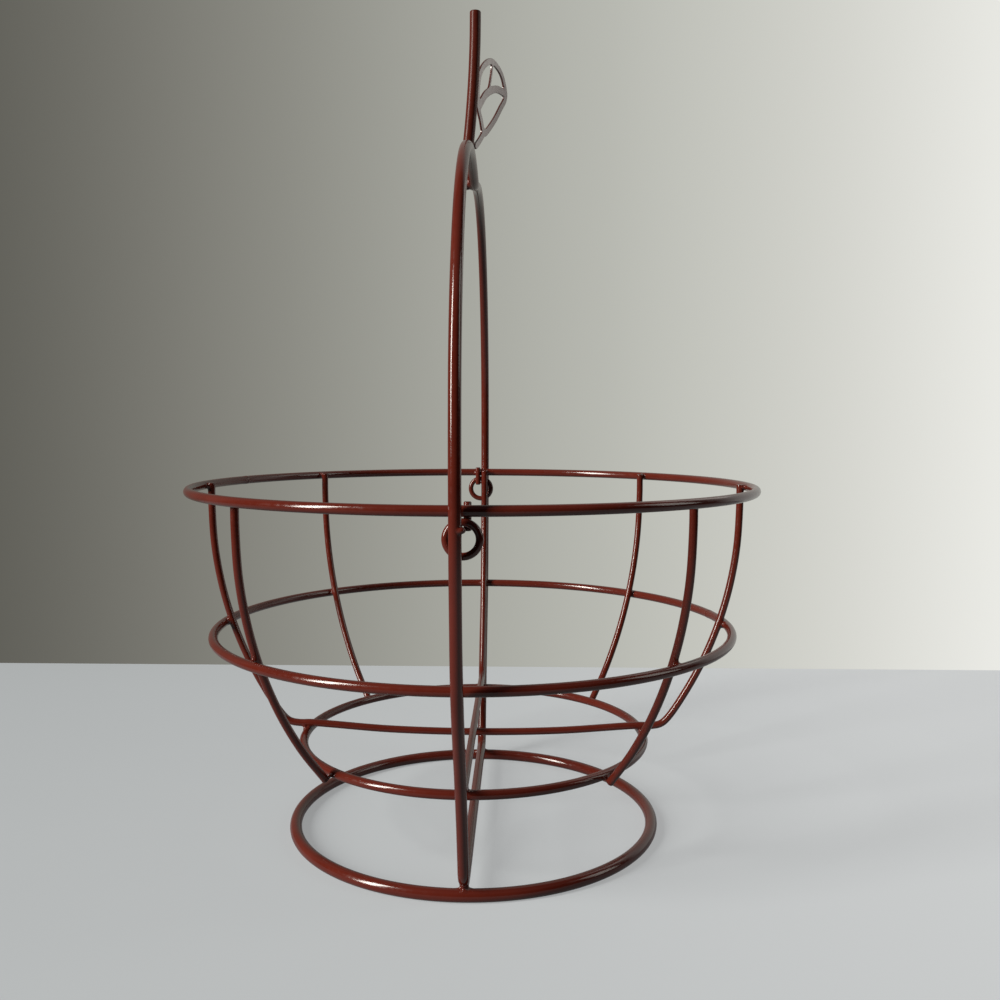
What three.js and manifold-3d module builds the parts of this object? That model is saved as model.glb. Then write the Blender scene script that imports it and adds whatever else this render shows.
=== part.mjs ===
// Apple-shaped wire basket: a bowl of rings and ribs hung between the sides of an apple outline.
// Units are millimetres, +Z is up, the base ring stands on z = 0 and the apple lies in the YZ plane.
import * as THREE from "three";
import { mergeVertices } from "three/addons/utils/BufferGeometryUtils.js";
import Module from "manifold-3d";

// Wire diameters
const RING_WIRE = 3.4;
const RIB_WIRE = 2.8;
const APPLE_WIRE = 3.8;
const BASE_WIRE = 4.5;
const STEM_WIRE = 4.2;
const EYE_WIRE = 2.3;
const PIN_WIRE = 2.0;

// Gap between two pieces that touch, and wider ones beside the eye's bar, the rim and the middle ring
const GAP = 0.3;
const BAR_CLEARANCE = 0.6;
const RIM_CLEARANCE = 1;
const MID_CLEARANCE = 1.8;

// Bowl: centre-line radii and heights of its rings
const RIM_RADIUS = 106;
const RIM_HEIGHT = 132.5;
const MID_HEIGHT = 78.5;
const LOWER_RADIUS = 66.2;
const LOWER_HEIGHT = 34.9;

// Bowl: the ribs run straight down from the rim, then curve in to the lower ring
const RIB_RISE = 1;
const RIB_STRAIGHT = 8.5;
const RIB_FOOT_DROP = 1.8;
const CROSS_BEND = 4;
const DIP_SHARE = 0.75;

// Hanging eyes: the ring's centre line, and how far its bar stands above and below the rim's line
const EYE_RADIUS = 4.9;
const BAR_RISE = 2.5;
const BAR_DROP = 6;

// The place of the pin in each eye, measured round from the eye's top
const PIN_TURN = THREE.MathUtils.degToRad(50);

// Base ring
const BASE_RADIUS = 69.6;

// Apple outline: heights of its lobes and cleft, and how far the lobes stand from the middle
const APPLE_TOP = 251;
const CLEFT_DEPTH = 4;
const LOBE_REACH = 30;
const APPLE_STRAIGHT = 24;
const SHOULDER_POINTS = 7;
const CLEFT_CURVE = [
  [0.6, 0.83],
  [0.32, 0.455],
  [0.12, 0.1],
];

// Apple outline: each point of the foot, out from the base ring's line and up from the bottom bar
const APPLE_FOOT = [
  [-32, 0],
  [-6.6, 0],
  [-0.4, 0.5],
  [3, 3.7],
  [5, 9.1],
];

// Apple outline: how far its sides draw in from foot to middle ring, and from there to the rim
const SIDE_SHARES = [0.25, 0.5];
const SIDE_BOW = 1.4;
const BELLY_DRAW = 2;

// Stem: its foot lies beside the cleft, and it straightens as it rises
const STEM_OVERLAP = 1.6;
const STEM_LENGTH = 65;
const STEM_LEAN = 4.8;
const STEM_POINTS = 6;

// Leaf: a flat stamped sheet, drawn across (first number) and up (second number) from beside the stem
const LEAF_SHEET = 0.8;
const LEAF_BAND = 2.3;
const LEAF_ARCH_BAND = 2.8;
const LEAF_VEIN = 1;
const LEAF_TURN = THREE.MathUtils.degToRad(24);
const LEAF_OFFSET = 1.4;
const LEAF_RISE = 12.6;
const LEAF_EDGE = [
  [8.6, 10.6],
  [10.6, 11.9],
  [17.4, 17.9],
  [22.8, 23.8],
  [27.2, 28.9],
  [27.4, 31.8],
  [24.1, 37],
  [20.5, 38.8],
  [14.8, 39.5],
  [9.1, 36.7],
  [4.6, 31.8],
  [2.8, 24.5],
  [3.6, 18],
  [5.6, 14.6],
  [6.9, 11.6],
];
const LEAF_ARCH = [
  [3.4, 19],
  [9.2, 25.2],
  [14.8, 28.6],
  [20, 30.4],
  [27, 30.8],
];
const LEAF_RIB = [
  [12.5, 28.4],
  [14.2, 33.5],
  [15.6, 39],
];
const LEAF_STALK = [
  [1, 4],
  [4.2, 6.8],
  [8.2, 11],
];

// Paint
const PAINT_COLOUR = 0x6e2016;
const PAINT_ROUGHNESS = 0.3;
const PAINT_METALNESS = 0.1;

// How finely curves are divided
const SIDES = 8;
const RING_STEPS = 64;
const EYE_STEPS = 24;
const STEPS_PER_POINT = 2;
const APPLE_STEPS_PER_POINT = 3;
const RIB_ARC_POINTS = 6;
const LEAF_STEPS = 48;
const LEAF_VEIN_STEPS = 12;
const MERGE_DISTANCE = 0.001;

// Values worked out from the dimensions above
const ringRadius = RING_WIRE / 2;
const ribRadius = RIB_WIRE / 2;
const appleRadius = APPLE_WIRE / 2;
const eyeWireRadius = EYE_WIRE / 2;
const ribTopRadius = RIM_RADIUS - ringRadius - ribRadius - GAP;
const ribBendHeight = RIM_HEIGHT - RIB_STRAIGHT;
const ribFootRadius = LOWER_RADIUS + ringRadius + ribRadius + GAP;
const ribFootHeight = LOWER_HEIGHT - RIB_FOOT_DROP;
const crossHeight = LOWER_HEIGHT + ringRadius + ribRadius + GAP;
const crossDip = RIB_WIRE + GAP;
const barReach = ringRadius + eyeWireRadius + GAP;
const barOffset = ribRadius + eyeWireRadius + BAR_CLEARANCE;
const pinReach = EYE_RADIUS - eyeWireRadius - PIN_WIRE / 2 - GAP;
const eyeOffset = pinReach * Math.sin(PIN_TURN);
const eyeRise = Math.sqrt(EYE_RADIUS ** 2 - (barOffset - eyeOffset) ** 2);
const eyeHeight = RIM_HEIGHT - barReach - EYE_RADIUS;
const pivotHeight = eyeHeight + pinReach * Math.cos(PIN_TURN);
const appleWidest = RIM_RADIUS + ringRadius + RIM_CLEARANCE + appleRadius;
const appleBarHeight = BASE_WIRE + GAP + appleRadius;
const cleftHeight = APPLE_TOP - CLEFT_DEPTH;
const pinOuter = appleWidest - appleRadius - GAP;
const pinInner = ribTopRadius + ribRadius + GAP;
const stemFoot = -appleRadius - STEM_WIRE / 2 - GAP;
const stemFootHeight = cleftHeight - STEM_OVERLAP;
const leafReach = STEM_WIRE / 2 + GAP + LEAF_SHEET / 2;
const leafPass = LEAF_OFFSET * Math.cos(LEAF_TURN);
const leafStart = Math.sqrt(leafReach ** 2 - leafPass ** 2) - LEAF_OFFSET * Math.sin(LEAF_TURN);

// The rib's curve is an arc that leaves the vertical below the rim and ends at the rib's foot
const ribRun = ribTopRadius - ribFootRadius;
const ribFall = ribBendHeight - ribFootHeight;
const ribFootAngle = 2 * Math.atan2(ribRun, ribFall);
const ribArcRadius = ribFall / Math.sin(ribFootAngle);

const ribAngleAt = (height) => Math.asin((ribBendHeight - height) / ribArcRadius);

const ribPoint = (angle) => [
  ribTopRadius - ribArcRadius * (1 - Math.cos(angle)),
  ribBendHeight - ribArcRadius * Math.sin(angle),
];

const midRadius = ribPoint(ribAngleAt(MID_HEIGHT))[0] + ribRadius + ringRadius + GAP;

const wasm = await Module();
wasm.setup();

const redPaint = () =>
  new THREE.MeshStandardMaterial({
    color: PAINT_COLOUR,
    roughness: PAINT_ROUGHNESS,
    metalness: PAINT_METALNESS,
  });

// A closed geometry as a solid that can be joined to another
function solidOf(geometry) {
  const bare = geometry.clone();
  bare.deleteAttribute("normal");
  bare.deleteAttribute("uv");
  const merged = mergeVertices(bare, MERGE_DISTANCE);
  const vertProperties = merged.attributes.position.array;
  const triVerts = new Uint32Array(merged.index.array);
  return new wasm.Manifold(new wasm.Mesh({ numProp: 3, vertProperties, triVerts }));
}

// Several overlapping closed geometries as one
function joined(geometries) {
  const mesh = geometries.map(solidOf).reduce((whole, piece) => whole.add(piece)).getMesh();
  return new THREE.BufferGeometry()
    .setAttribute("position", new THREE.BufferAttribute(mesh.vertProperties, 3))
    .setIndex(new THREE.BufferAttribute(mesh.triVerts, 1));
}

// A smooth line through the points, with equal steps between points so that bends stay finely divided
function lineThrough(points, closed = false) {
  const line = new THREE.CatmullRomCurve3(points, closed, "centripetal");
  line.getUtoTmapping = (share) => share;
  return line;
}

// A round wire with two cut ends
function openWire(points, diameter) {
  const section = new THREE.Shape(
    Array.from({ length: SIDES }, (_, i) => {
      const angle = ((i + 0.5) / SIDES) * 2 * Math.PI;
      return new THREE.Vector2(Math.cos(angle), Math.sin(angle)).multiplyScalar(diameter / 2);
    }),
  );
  return new THREE.ExtrudeGeometry(section, {
    steps: (points.length - 1) * STEPS_PER_POINT,
    extrudePath: lineThrough(points),
    bevelEnabled: false,
  });
}

// A round wire bent into a level ring
function levelRing(radius, diameter) {
  return new THREE.TorusGeometry(radius, diameter / 2, SIDES, RING_STEPS);
}

// The base ring's wire has flats all round, one of which it stands on
function flatFootedRing(radius, diameter) {
  const corner = diameter / 2 / Math.cos(Math.PI / SIDES);
  const profile = Array.from({ length: SIDES + 1 }, (_, i) => {
    const angle = ((i + 0.5) / SIDES) * 2 * Math.PI;
    return new THREE.Vector2(radius + corner * Math.cos(angle), corner * Math.sin(angle));
  });
  return new THREE.LatheGeometry(profile, RING_STEPS).rotateX(Math.PI / 2);
}

// Half width and height, from a rib's top end to an angle on its arc
function ribPath(lastAngle) {
  const arc = Array.from({ length: RIB_ARC_POINTS + 1 }, (_, i) =>
    ribPoint((lastAngle * i) / RIB_ARC_POINTS),
  );
  return [[ribTopRadius, RIM_HEIGHT + RIB_RISE], ...arc];
}

// A rib from the rim down to the outside of the lower ring, in the XZ plane
function shortRib() {
  return openWire(
    ribPath(ribFootAngle).map(([x, z]) => new THREE.Vector3(x, 0, z)),
    RIB_WIRE,
  );
}

const midway = (from, to) => from.map((value, i) => (value + to[i]) / 2);

// Two opposite ribs in one wire, which crosses the bowl on top of the lower ring and dips in the middle
function crossingRib(dip) {
  const [cornerRadius] = ribPoint(ribAngleAt(crossHeight));
  const bendStart = ribPoint(ribAngleAt(crossHeight) - CROSS_BEND / ribArcRadius);
  const bendEnd = [cornerRadius - CROSS_BEND, crossHeight];
  const corner = [cornerRadius, crossHeight];
  const bendMiddle = midway(midway(bendStart, corner), midway(corner, bendEnd));
  const half = [
    ...ribPath(ribAngleAt(bendStart[1])),
    bendMiddle,
    bendEnd,
    [LOWER_RADIUS - ringRadius, crossHeight],
    [LOWER_RADIUS / 2, crossHeight - dip * DIP_SHARE],
  ];
  const otherHalf = half.map(([x, z]) => [-x, z]).reverse();
  return openWire(
    [...half, [0, crossHeight - dip], ...otherHalf].map(([x, z]) => new THREE.Vector3(x, 0, z)),
    RIB_WIRE,
  );
}

// An eye under the rim, on a short bar that stands against the rim's inner side
function hangingEye() {
  const ring = new THREE.TorusGeometry(EYE_RADIUS, eyeWireRadius, SIDES, EYE_STEPS)
    .rotateX(Math.PI / 2)
    .translate(eyeOffset, -RIM_RADIUS, eyeHeight);
  const place = (inward, height) => new THREE.Vector3(barOffset, inward - RIM_RADIUS, height);
  const bar = [place(barReach, RIM_HEIGHT - BAR_DROP), place(barReach, RIM_HEIGHT + BAR_RISE)];
  const link = [place(0, eyeHeight + eyeRise), place(barReach, eyeHeight + eyeRise)];
  return joined([ring, openWire(bar, EYE_WIRE), openWire(link, EYE_WIRE)]);
}

// A short pin on the inner face of the apple wire, through the eye
function hingePin() {
  return new THREE.CylinderGeometry(PIN_WIRE / 2, PIN_WIRE / 2, pinOuter - pinInner, 2 * SIDES)
    .translate(0, -(pinOuter + pinInner) / 2, pivotHeight);
}

// Half width and height of one half of the apple outline, from the bottom bar up to the cleft
function appleHalf() {
  const foot = APPLE_FOOT.map(([out, up]) => [BASE_RADIUS + out, appleBarHeight + up]);
  const [footRadius, footHeight] = foot.at(-1);
  const midSide = midRadius + ringRadius + MID_CLEARANCE + appleRadius;
  const side = SIDE_SHARES.map((share) => [
    footRadius + (midSide - footRadius) * share - SIDE_BOW,
    footHeight + (MID_HEIGHT - footHeight) * share,
  ]);
  const belly = [
    [midSide, MID_HEIGHT],
    [appleWidest - BELLY_DRAW, (MID_HEIGHT + RIM_HEIGHT) / 2],
    [appleWidest, RIM_HEIGHT],
  ];
  const shoulderHeight = RIM_HEIGHT + APPLE_STRAIGHT;
  const shoulder = Array.from({ length: SHOULDER_POINTS + 1 }, (_, i) => {
    const angle = ((i / SHOULDER_POINTS) * Math.PI) / 2;
    return [
      LOBE_REACH + (appleWidest - LOBE_REACH) * Math.cos(angle),
      shoulderHeight + (APPLE_TOP - shoulderHeight) * Math.sin(angle),
    ];
  });
  const cleft = CLEFT_CURVE.map(([out, up]) => [LOBE_REACH * out, cleftHeight + CLEFT_DEPTH * up]);
  return [...foot, ...side, ...belly, ...shoulder, ...cleft];
}

// The apple outline, one closed loop with its bottom bar lying on the base ring
function appleLoop() {
  const front = appleHalf().map(([y, z]) => new THREE.Vector3(0, -y, z));
  const back = appleHalf().map(([y, z]) => new THREE.Vector3(0, y, z)).reverse();
  const bar = new THREE.Vector3(0, 0, appleBarHeight);
  const cleft = new THREE.Vector3(0, 0, cleftHeight);
  const points = [bar, ...front, cleft, ...back];
  return new THREE.TubeGeometry(
    lineThrough(points, true),
    points.length * APPLE_STEPS_PER_POINT,
    appleRadius,
    SIDES,
    true,
  );
}

// A point on the stem's line, at a share of its length
function stemPoint(share) {
  const lean = STEM_LEAN * (1 - (1 - share) ** 2);
  return new THREE.Vector3(stemFoot + lean, 0, stemFootHeight + STEM_LENGTH * share);
}

// The stem, a round rod
function stemRod() {
  const points = Array.from({ length: STEM_POINTS + 1 }, (_, i) => stemPoint(i / STEM_POINTS));
  return openWire(points, STEM_WIRE);
}

// A flat strip of the leaf, along a line drawn in the leaf's plane
function leafStrip(drawn, width) {
  const line = new THREE.SplineCurve(drawn.map(([across, up]) => new THREE.Vector2(across, up)));
  const sides = [width / 2, -width / 2].map((offset) =>
    Array.from({ length: LEAF_VEIN_STEPS + 1 }, (_, i) => {
      const along = line.getTangentAt(i / LEAF_VEIN_STEPS);
      const across = new THREE.Vector2(-along.y, along.x).multiplyScalar(offset);
      return line.getPointAt(i / LEAF_VEIN_STEPS).add(across);
    }),
  );
  return new THREE.Shape([...sides[0], ...sides[1].reverse()]);
}

// The leaf's rim, a flat band round its edge
function leafBand() {
  const points = LEAF_EDGE.map(([across, up]) => new THREE.Vector3(across, up, 0));
  const line = new THREE.CatmullRomCurve3(points, true);
  const edge = (offset) =>
    Array.from({ length: LEAF_STEPS }, (_, i) => {
      const along = line.getTangentAt(i / LEAF_STEPS);
      const { x, y } = line.getPointAt(i / LEAF_STEPS);
      return new THREE.Vector2(x + along.y * offset, y - along.x * offset);
    });
  const band = new THREE.Shape(edge(LEAF_BAND / 2));
  band.holes.push(new THREE.Path(edge(-LEAF_BAND / 2)));
  return band;
}

// The leaf stands beside and behind the stem, turned a little out of the apple's plane
function leafSheet() {
  const strips = [
    leafBand(),
    leafStrip(LEAF_ARCH, LEAF_ARCH_BAND),
    leafStrip(LEAF_RIB, LEAF_VEIN),
    leafStrip(LEAF_STALK, LEAF_BAND),
  ];
  const options = { depth: LEAF_SHEET, bevelEnabled: false };
  const sheets = strips.map((strip) => new THREE.ExtrudeGeometry(strip, options));
  const seat = stemPoint((LEAF_RISE + LEAF_STALK[0][1]) / STEM_LENGTH);
  return joined(sheets)
    .translate(leafStart, 0, -LEAF_SHEET / 2)
    .rotateX(Math.PI / 2)
    .rotateZ(Math.PI / 2 - LEAF_TURN)
    .translate(seat.x + LEAF_OFFSET, 0, stemFootHeight + LEAF_RISE);
}

const group = new THREE.Group();

function add(name, geometry, { height = 0, turn = 0 } = {}) {
  const mesh = new THREE.Mesh(geometry, redPaint());
  mesh.name = name;
  mesh.position.z = height;
  mesh.rotation.z = turn;
  group.add(mesh);
}

// Stand
add("base_ring", flatFootedRing(BASE_RADIUS, BASE_WIRE), { height: BASE_WIRE / 2 });
add("apple_frame", appleLoop());
add("stem", stemRod());
add("leaf", leafSheet());
add("hinge_pin_front", hingePin());
add("hinge_pin_back", hingePin(), { turn: Math.PI });

// Bowl
add("rim_ring", levelRing(RIM_RADIUS, RING_WIRE), { height: RIM_HEIGHT });
add("mid_ring", levelRing(midRadius, RING_WIRE), { height: MID_HEIGHT });
add("lower_ring", levelRing(LOWER_RADIUS, RING_WIRE), { height: LOWER_HEIGHT });
add("rib_left_right", crossingRib(crossDip));
add("rib_front_back", crossingRib(0), { turn: Math.PI / 2 });
["back_right", "back_left", "front_left", "front_right"].forEach((place, i) => {
  add("rib_" + place, shortRib(), { turn: Math.PI / 4 + (i * Math.PI) / 2 });
});
add("hanging_eye_front", hangingEye());
add("hanging_eye_back", hangingEye(), { turn: Math.PI });

export default group;
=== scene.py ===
import math

import bmesh
import bpy
import numpy as np
from mathutils import Matrix, Vector


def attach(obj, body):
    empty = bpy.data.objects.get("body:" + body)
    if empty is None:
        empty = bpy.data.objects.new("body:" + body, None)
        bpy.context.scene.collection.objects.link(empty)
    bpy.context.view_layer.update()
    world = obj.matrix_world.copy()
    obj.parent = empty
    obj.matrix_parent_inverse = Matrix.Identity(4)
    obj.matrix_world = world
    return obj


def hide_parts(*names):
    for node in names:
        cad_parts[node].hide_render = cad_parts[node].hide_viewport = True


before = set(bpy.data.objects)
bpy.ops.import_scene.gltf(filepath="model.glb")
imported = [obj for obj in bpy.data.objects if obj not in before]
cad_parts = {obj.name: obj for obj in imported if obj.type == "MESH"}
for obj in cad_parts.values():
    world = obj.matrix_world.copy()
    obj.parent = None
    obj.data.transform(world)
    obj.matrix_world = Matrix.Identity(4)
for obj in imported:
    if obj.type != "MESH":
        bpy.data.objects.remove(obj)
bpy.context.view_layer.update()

MM = 0.001
FULL_TURN = 2 * math.pi
X_AXIS = np.array([1.0, 0, 0])
Y_AXIS = np.array([0, 1.0, 0])
Z_AXIS = np.array([0, 0, 1.0])
FRONT_AND_BACK = (("front", 0), ("back", math.pi))

# Wire radii
RING = 1.7
RIB = 1.4
APPLE = 1.9
BASE = 2.25
STEM = 2.1
EYE = 1.15
PIN = 1.0

# Gap between two pieces that are welded together
GAP = 0.3

# Bowl
RIM_RADIUS = 106
RIM_HEIGHT = 132.5
MID_HEIGHT = 78.5
LOWER_RADIUS = 66.2
LOWER_HEIGHT = 34.9
RIB_RISE = 1
RIB_STRAIGHT = 8.5
RIB_FOOT_DROP = 1.8
CROSS_BEND = 4
DIP_SHARE = 0.75

# Hanging eyes and hinge pins
EYE_RADIUS = 4.9
BAR_CLEARANCE = 0.6
BAR_RISE = 2.5
BAR_DROP = 6
PIN_TURN = math.radians(50)

# Stand
BASE_RADIUS = 69.6
APPLE_TOP = 251
CLEFT_DEPTH = 4
LOBE_REACH = 30
APPLE_STRAIGHT = 24
CLEFT_CURVE = [(0.6, 0.83), (0.32, 0.455), (0.12, 0.1)]
APPLE_FOOT = [(-32, 0), (-6.6, 0), (-0.4, 0.5), (3, 3.7), (5, 9.1)]
SIDE_SHARES = [0.25, 0.5]
SIDE_BOW = 1.4
BELLY_DRAW = 2
MID_CLEARANCE = 1.8
RIM_CLEARANCE = 1

# Stem and leaf
STEM_OVERLAP = 1.6
STEM_LENGTH = 65
STEM_LEAN = 4.8
LEAF_SHEET = 0.8
LEAF_BAND = 2.3
LEAF_ARCH_BAND = 2.8
LEAF_VEIN = 1
LEAF_TURN = math.radians(24)
LEAF_OFFSET = 1.4
LEAF_RISE = 12.6
LEAF_EDGE = [
    (8.6, 10.6), (10.6, 11.9), (17.4, 17.9), (22.8, 23.8), (27.2, 28.9),
    (27.4, 31.8), (24.1, 37), (20.5, 38.8), (14.8, 39.5), (9.1, 36.7),
    (4.6, 31.8), (2.8, 24.5), (3.6, 18), (5.6, 14.6), (6.9, 11.6),
]
LEAF_ARCH = [(3.4, 19), (9.2, 25.2), (14.8, 28.6), (20, 30.4), (27, 30.8)]
LEAF_RIB = [(12.5, 28.4), (14.2, 33.5), (15.6, 39)]
LEAF_STALK = [(1, 4), (4.2, 6.8), (8.2, 11)]

# How finely the wires are divided
SIDES = 20
STEPS_PER_POINT = 10
RING_STEPS = 240
RIB_POINTS = 6
SHOULDER_POINTS = 7
APPLE_STEPS = 9
STEM_POINTS = 6
STEM_STEPS = 8
BAR_STEPS = 12
LINK_STEPS = 8
EYE_STEPS = 64
PIN_STEPS = 12
LEAST_SPAN = 1e-6
NEARLY_ALONG = 0.8

# Values worked out from the dimensions above
rib_top_radius = RIM_RADIUS - RING - RIB - GAP
rib_bend_height = RIM_HEIGHT - RIB_STRAIGHT
rib_foot_radius = LOWER_RADIUS + RING + RIB + GAP
rib_foot_height = LOWER_HEIGHT - RIB_FOOT_DROP
rib_foot_angle = 2 * math.atan2(rib_top_radius - rib_foot_radius, rib_bend_height - rib_foot_height)
rib_arc_radius = (rib_bend_height - rib_foot_height) / math.sin(rib_foot_angle)
cross_height = LOWER_HEIGHT + RING + RIB + GAP
cross_dip = 2 * RIB + GAP
bar_reach = RING + EYE + GAP
bar_offset = RIB + EYE + BAR_CLEARANCE
pin_reach = EYE_RADIUS - EYE - PIN - GAP
eye_offset = pin_reach * math.sin(PIN_TURN)
eye_rise = math.sqrt(EYE_RADIUS**2 - (bar_offset - eye_offset) ** 2)
eye_height = RIM_HEIGHT - bar_reach - EYE_RADIUS
pivot_height = eye_height + pin_reach * math.cos(PIN_TURN)
apple_widest = RIM_RADIUS + RING + RIM_CLEARANCE + APPLE
apple_bar_height = 2 * BASE + GAP + APPLE
cleft_height = APPLE_TOP - CLEFT_DEPTH
pin_outer = apple_widest - APPLE - GAP
pin_inner = rib_top_radius + RIB + GAP
stem_foot = -APPLE - STEM - GAP
stem_foot_height = cleft_height - STEM_OVERLAP
leaf_reach = STEM + GAP + LEAF_SHEET / 2
leaf_pass = LEAF_OFFSET * math.cos(LEAF_TURN)
leaf_start = math.sqrt(leaf_reach**2 - leaf_pass**2) - LEAF_OFFSET * math.sin(LEAF_TURN)

SEED = 11
rng = np.random.default_rng(SEED)


def rib_angle_at(height):
    return math.asin((rib_bend_height - height) / rib_arc_radius)


def rib_point(angle):
    return (
        rib_top_radius - rib_arc_radius * (1 - math.cos(angle)),
        rib_bend_height - rib_arc_radius * math.sin(angle),
    )


mid_radius = rib_point(rib_angle_at(MID_HEIGHT))[0] + RIB + RING + GAP


# A smooth line through control points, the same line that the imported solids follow
def line_through(points, closed=False, steps=STEPS_PER_POINT):
    p = np.array(points, float)
    if closed:
        p = np.vstack([p[-1], p, p[0], p[1]])
    else:
        p = np.vstack([2 * p[0] - p[1], p, 2 * p[-1] - p[-2]])
    shares = np.linspace(0, 1, steps, endpoint=False)[:, None]
    line = []
    for a, b, c, d in zip(p, p[1:], p[2:], p[3:]):
        before, span, after = (max(np.linalg.norm(v), LEAST_SPAN) ** 0.5 for v in (b - a, c - b, d - c))
        leave = span * ((b - a) / before - (c - a) / (before + span) + (c - b) / span)
        reach = span * ((c - b) / span - (d - b) / (span + after) + (d - c) / after)
        square = 3 * (c - b) - 2 * leave - reach
        cube = 2 * (b - c) + leave + reach
        line.append(b + shares * (leave + shares * (square + shares * cube)))
    if not closed:
        line.append(p[-2:-1])
    return np.vstack(line)


def unit(v):
    return v / np.linalg.norm(v, axis=-1, keepdims=True)


# The part of a direction that is square to another one
def square_to(direction, along):
    return unit(direction - along * (direction @ along))


# The first axis, or the second where a direction runs nearly along the first
def axis_off(direction, first, second):
    return first if abs(direction @ first) < NEARLY_ALONG else second


def turned(points, angle):
    c, s = math.cos(angle), math.sin(angle)
    return np.asarray(points, float) @ np.array([[c, s, 0], [-s, c, 0], [0, 0, 1]])


# Two directions square to the line at each of its points, carried along without twisting
def frames_along(line, closed):
    if closed:
        along = unit(np.roll(line, -1, 0) - np.roll(line, 1, 0))
    else:
        along = unit(np.gradient(line, axis=0))
    sides = [square_to(axis_off(along[0], X_AXIS, Z_AXIS), along[0])]
    for t in along[1:]:
        sides.append(square_to(sides[-1], t))
    side = np.array(sides)
    if closed:
        back = square_to(side[-1], along[0])
        over = np.cross(along[0], side[0])
        twist = math.atan2(back @ over, back @ side[0])
        shares = np.arange(len(line)) / len(line)
        turn = (-twist * shares)[:, None]
        side = side * np.cos(turn) + np.cross(along, side) * np.sin(turn)
    return along, side, np.cross(along, side)


# Faces between the rows of points round a tube, with a face over each end of an open one
def tube_faces(rows, around, closed=False):
    faces = []
    for i in range(rows if closed else rows - 1):
        low, high = i * around, (i + 1) % rows * around
        for k in range(around):
            n = (k + 1) % around
            faces.append((low + k, low + n, high + n, high + k))
    if not closed:
        faces.append(tuple(range(around))[::-1])
        faces.append(tuple(range((rows - 1) * around, rows * around)))
    return faces


# A shell is (vertices, faces, wear): wear runs from 0, full paint, to 1, thin paint
def wire(line, radius, closed=False, swell=None, wear=None):
    line = np.asarray(line, float)
    count = len(line)
    swell = np.ones(count) if swell is None else swell
    wear = np.zeros(count) if wear is None else wear
    along, side, over = frames_along(line, closed)
    rings = [(line[i], side[i], over[i], radius * swell[i], wear[i]) for i in range(count)]
    if not closed:
        rings = rounded_end(line[0], -along[0], side[0], over[0], radius)[::-1] + rings[1:-1]
        rings += rounded_end(line[-1], along[-1], side[-1], over[-1], radius)
    angles = np.arange(SIDES) / SIDES * FULL_TURN
    circle = np.stack([np.cos(angles), np.sin(angles)], 1)
    verts = np.vstack([p + r * (circle[:, :1] * s + circle[:, 1:] * o) for p, s, o, r, _ in rings])
    worn = np.repeat([w for *_, w in rings], SIDES)
    return verts, tube_faces(len(rings), SIDES, closed), worn


def turned_shell(shell, angle):
    verts, faces, wear = shell
    return turned(verts, angle), faces, wear


# The last rings of a cut wire end, whose edge the paint has rounded
END_ROUND = 0.4
END_STEPS = 4
END_FACE_SHARE = 0.9
END_SIDE_WEAR = 0.2
END_EDGE_WEAR = 0.5
END_FACE_WEAR = 0.4


def rounded_end(point, outward, side, over, radius):
    rings = []
    for i in range(END_STEPS + 1):
        angle = i / END_STEPS * math.pi / 2
        back = END_ROUND * (1 - math.sin(angle))
        r = radius - END_ROUND * (1 - math.cos(angle))
        wear = END_SIDE_WEAR + END_EDGE_WEAR * math.sin(angle)
        rings.append((point - outward * back, side, over, r, wear))
    rings.append((point, side, over, (radius - END_ROUND) * END_FACE_SHARE, END_FACE_WEAR))
    return rings


# A level ring whose two wire ends meet in a butt weld at an angle: a low collar with a fine groove
RIM_SEAM = math.radians(160)
MID_SEAM = math.radians(13)
LOWER_SEAM = math.radians(70)
BASE_SEAM = math.radians(100)
SEAM_REACH = 3
SEAM_STEPS = 41
COLLAR = 0.045
COLLAR_WIDTH = 1.1
GROOVE = 0.1
GROOVE_WIDTH = 0.22
ANGLE_DIGITS = 6


def ring_wire(radius, height, wire_radius, seam, collar=COLLAR):
    even = np.linspace(0, FULL_TURN, RING_STEPS, endpoint=False)
    close = seam + np.linspace(-SEAM_REACH, SEAM_REACH, SEAM_STEPS) / radius
    angles = np.unique(np.round(np.concatenate([even, close % FULL_TURN]), ANGLE_DIGITS))
    away = ((angles - seam + math.pi) % FULL_TURN - math.pi) * radius
    at_groove = np.exp(-((away / GROOVE_WIDTH) ** 2))
    swell = 1 + collar * np.exp(-((away / COLLAR_WIDTH) ** 2)) - GROOVE * at_groove
    line = np.stack([radius * np.cos(angles), radius * np.sin(angles), np.full_like(angles, height)], 1)
    return wire(line, wire_radius, True, swell, at_groove)


# Distances from points to the skin of a wire, for shaping welds. A cut wire has flat ends
def from_line(line, radius, cut=True):
    start, step = line[:-1], np.diff(line, axis=0)
    square = (step**2).sum(1)
    last = len(step) - 1
    tail, head = unit(-step[0]), unit(step[-1])

    def distance(p):
        best = np.full(len(p), np.inf)
        for i in range(len(step)):
            low = -np.inf if cut and i == 0 else 0
            high = np.inf if cut and i == last else 1
            share = np.clip((p - start[i]) @ step[i] / square[i], low, high)[:, None]
            best = np.minimum(best, ((p - start[i] - share * step[i]) ** 2).sum(1))
        beside = np.sqrt(best) - radius
        if not cut:
            return beside
        past = np.maximum((p - line[0]) @ tail, (p - line[-1]) @ head)
        return within_both(beside, past)

    return distance


# The distance to what lies inside two skins at once, with the edge between them rounded
def within_both(first, second):
    a, b = first + END_ROUND, second + END_ROUND
    outside = np.hypot(np.maximum(a, 0), np.maximum(b, 0))
    return np.minimum(np.maximum(a, b), 0) + outside - END_ROUND


# The distance to what lies inside either of two skins, with a hollow fillet between them
def softly_joined(a, b, size):
    mix = np.clip(size - np.abs(a - b), 0, None) / size
    return np.minimum(a, b) - mix**2 * size / 4


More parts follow.
